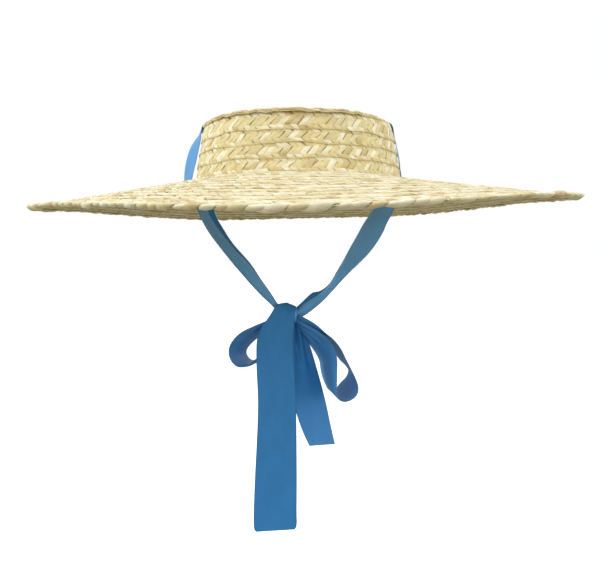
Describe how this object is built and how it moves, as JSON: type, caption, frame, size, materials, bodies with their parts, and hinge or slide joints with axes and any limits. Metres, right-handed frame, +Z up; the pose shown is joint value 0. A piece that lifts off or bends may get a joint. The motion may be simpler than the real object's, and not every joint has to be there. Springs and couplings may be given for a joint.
{
  "type": "straw boater hat with a chin ribbon",
  "caption": "Plaited straw hat with a low flat crown, a wide drooping brim and a blue ribbon that crosses the crown, passes through the brim and ties in a bow below.",
  "frame": {"origin": "middle of the head opening, level with the foot of the crown", "axes": "+Z up through the crown, -Y to the front, +X to the side that is on the right when the hat is seen from the front"},
  "size_m": [0.4442, 0.4702, 0.3623],
  "materials": {
    "straw": "flat plaited straw splints, natural cream to golden, slightly glossy",
    "ribbon": "blue satin ribbon with a soft sheen"
  },
  "bodies": {
    "root": {"crown_tip": "straw", "crown_side": "straw", "brim": "straw", "chin_ribbon": "ribbon", "bow_knot": "ribbon", "bow_loop_left": "ribbon", "bow_loop_right": "ribbon", "tail_long": "ribbon", "tail_short": "ribbon"}
  },
  "joints": []
}
